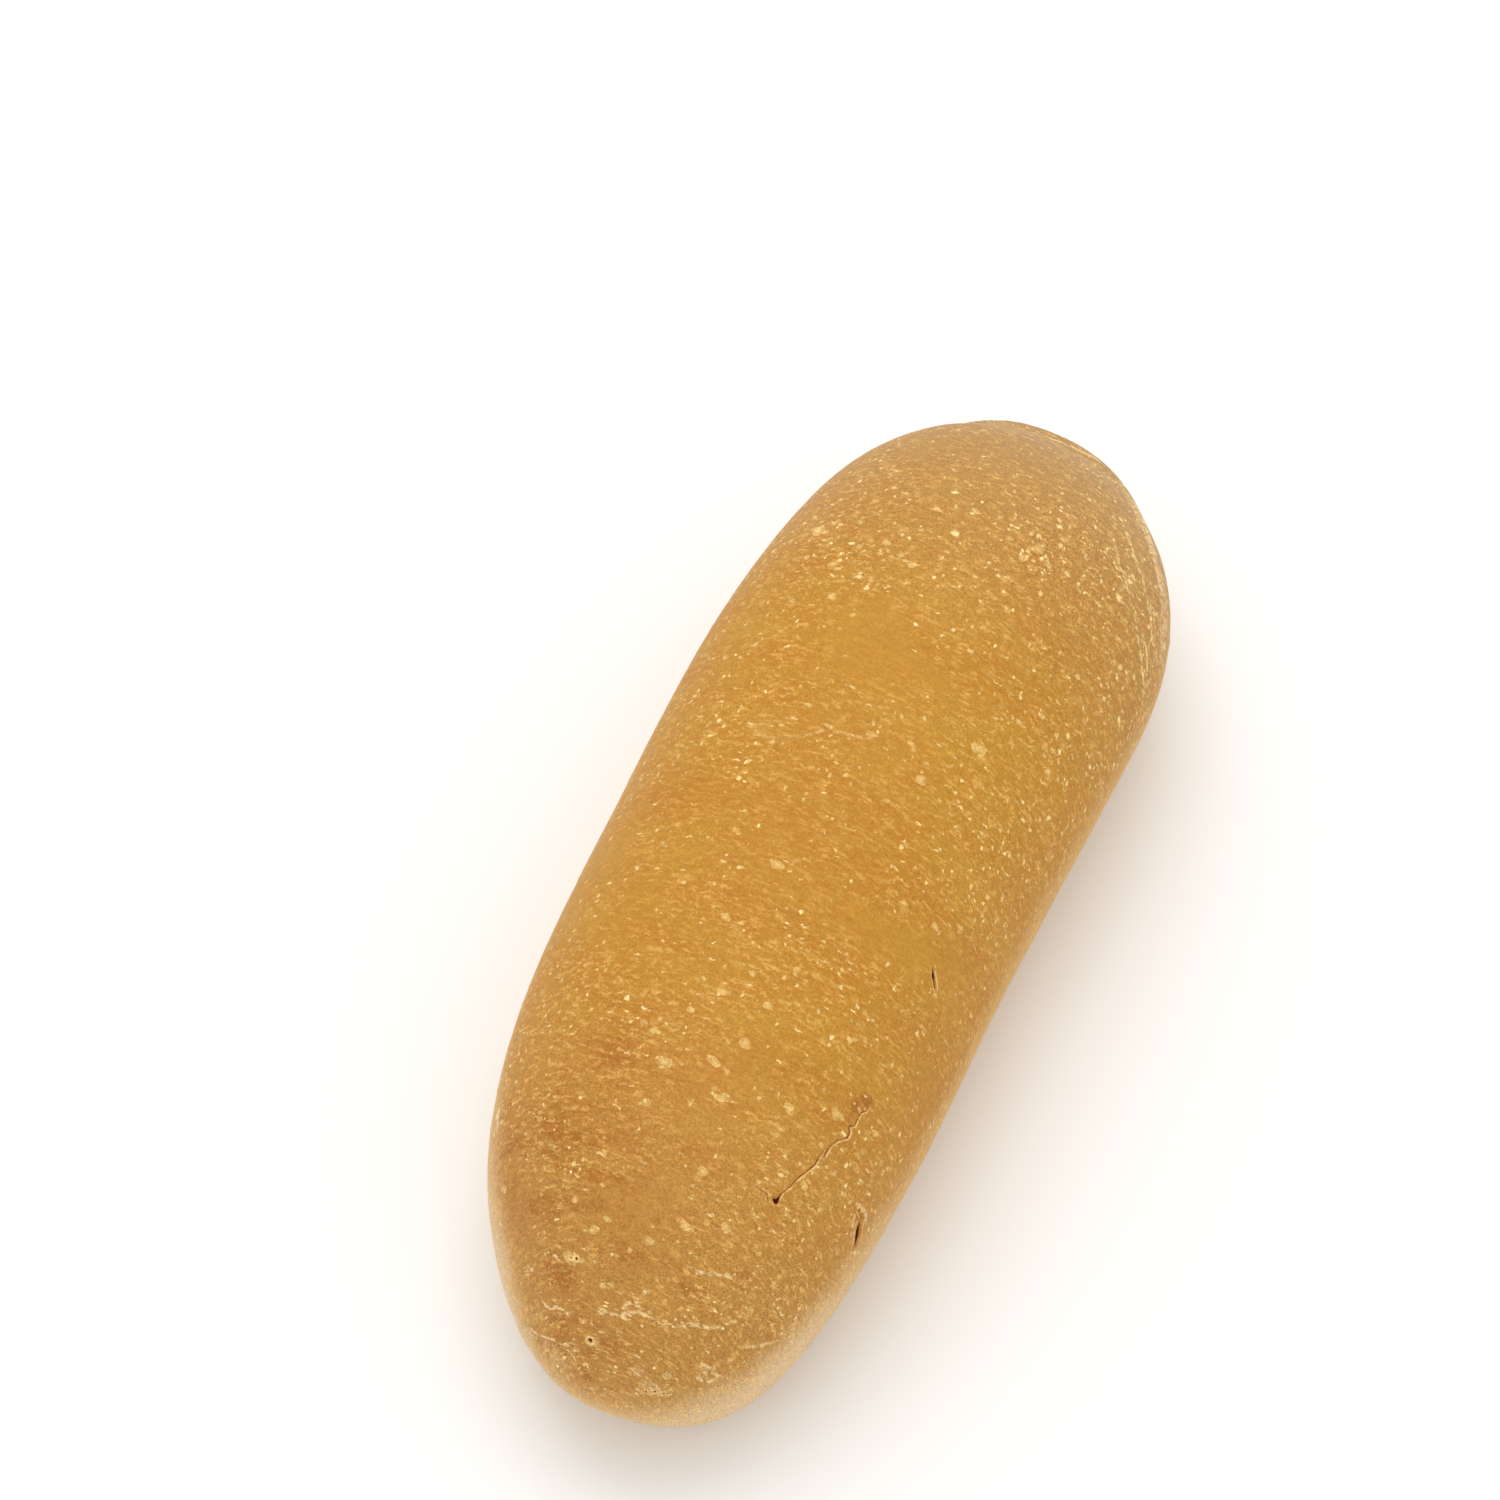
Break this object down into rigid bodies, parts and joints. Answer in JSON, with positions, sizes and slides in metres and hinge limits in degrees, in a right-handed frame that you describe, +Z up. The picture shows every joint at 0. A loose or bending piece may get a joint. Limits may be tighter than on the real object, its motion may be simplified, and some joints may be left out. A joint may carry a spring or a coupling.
{
  "type": "olive oil bread roll",
  "caption": "Long soft bread roll of rolled-up dough with a smooth golden crust, rounded ends with low coil knobs and a flat sole.",
  "frame": {"origin": "middle of the sole's underside, below the middle of the roll", "axes": "+X along the roll, +Z up out of the crown, +Y across towards the side that the roll bows out to"},
  "size_m": [0.1402, 0.0532, 0.045],
  "materials": {
    "crust": "satin, golden brown crust with a thin film of oil"
  },
  "bodies": {
    "root": {"roll": "crust"}
  },
  "joints": []
}
